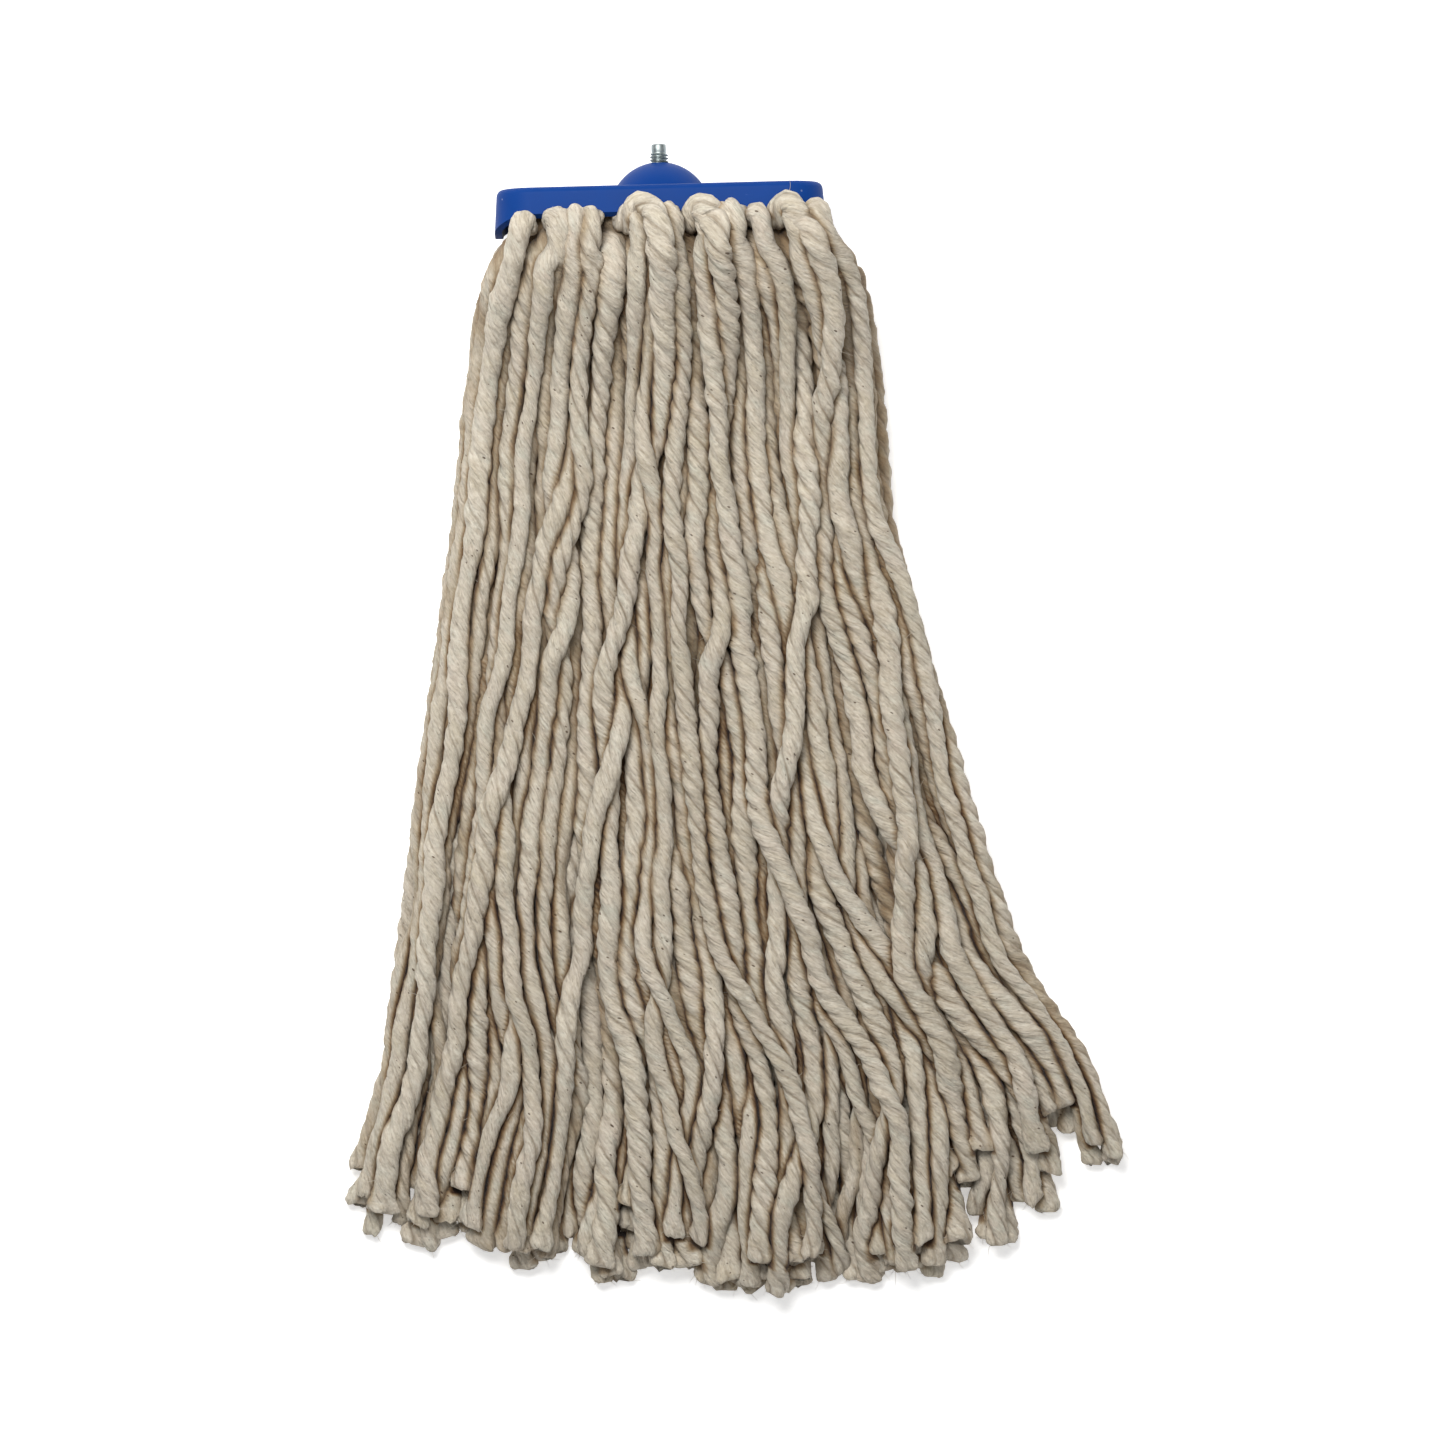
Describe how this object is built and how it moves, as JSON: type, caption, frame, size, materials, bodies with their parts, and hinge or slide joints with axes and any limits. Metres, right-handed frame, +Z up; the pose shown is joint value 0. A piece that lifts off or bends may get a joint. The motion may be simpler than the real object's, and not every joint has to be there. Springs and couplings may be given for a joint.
{
  "type": "string mop head",
  "caption": "Screw-on wet mop head with a shallow moulded cap, a round dome, a threaded stud and two skirts of cut-end twisted cotton yarn, lying flat.",
  "frame": {"origin": "on the stud's axis, where the stud leaves the top of the cap's dome", "axes": "+Y along the stud, away from the yarn; +X across the cap's length; +Z up, away from the surface that the head lies on"},
  "size_m": [0.3249, 0.4867, 0.0633],
  "materials": {
    "cap_plastic": "satin blue moulded polypropylene",
    "clamp_plastic": "satin blue moulded polypropylene",
    "zinc_steel": "bright zinc plate",
    "cotton_yarn": "natural unbleached cotton, three-ply twisted yarn"
  },
  "bodies": {
    "head": {"cap": "cap_plastic", "bolt": "zinc_steel", "nut": "zinc_steel", "washer": "zinc_steel", "lock_washer": "zinc_steel", "clamp_bar": "clamp_plastic", "yarn_fold": "cotton_yarn", "back_yarn_1": "cotton_yarn", "back_yarn_2": "cotton_yarn", "back_yarn_3": "cotton_yarn", "back_yarn_4": "cotton_yarn", "back_yarn_5": "cotton_yarn", "back_yarn_6": "cotton_yarn", "back_yarn_7": "cotton_yarn"},
    "front_skirt": {"front_yarn_1": "cotton_yarn", "front_yarn_2": "cotton_yarn", "front_yarn_3": "cotton_yarn", "front_yarn_4": "cotton_yarn", "front_yarn_5": "cotton_yarn", "front_yarn_6": "cotton_yarn", "front_yarn_7": "cotton_yarn"}
  },
  "joints": [
    {"name": "front_skirt_lift", "type": "hinge", "parent": "head", "child": "front_skirt", "pos_m": [0, -0.0305, 0.0285], "axis": [-1, 0, 0], "range_deg": [0, 90]}
  ]
}
